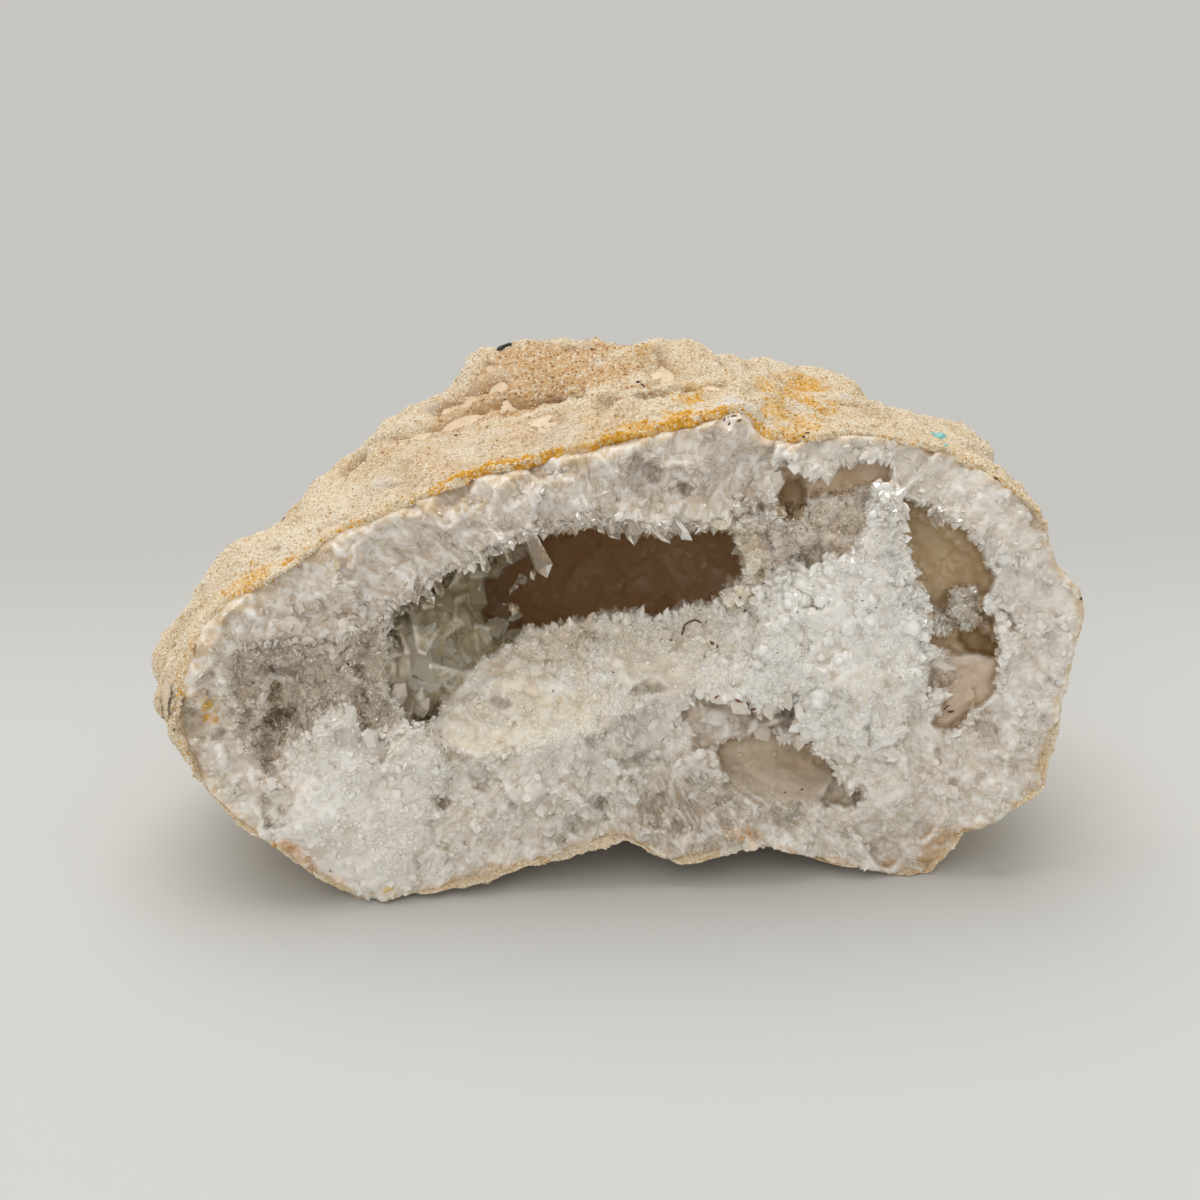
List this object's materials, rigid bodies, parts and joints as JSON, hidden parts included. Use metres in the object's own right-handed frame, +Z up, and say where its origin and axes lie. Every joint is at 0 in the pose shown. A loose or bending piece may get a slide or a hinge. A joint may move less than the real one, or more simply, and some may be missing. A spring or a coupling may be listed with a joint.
{
  "type": "quartz geode",
  "caption": "Half of a broken quartz geode lying on its rounded underside: cream sandy rind, thick milky quartz wall, and open cavities lined with small clear crystals.",
  "frame": {"origin": "on the resting plane, under the middle of the stone's bounding box", "axes": "+X along the length of the stone, +Y from the broken face towards the back, +Z up"},
  "size_m": [0.1614, 0.0968, 0.0854],
  "materials": {
    "rind": "weathered, sandy, matt",
    "quartz": "milky crystalline quartz, sugary break with glassy crystals"
  },
  "bodies": {
    "root": {"rind": "rind", "quartz": "quartz"}
  },
  "joints": []
}
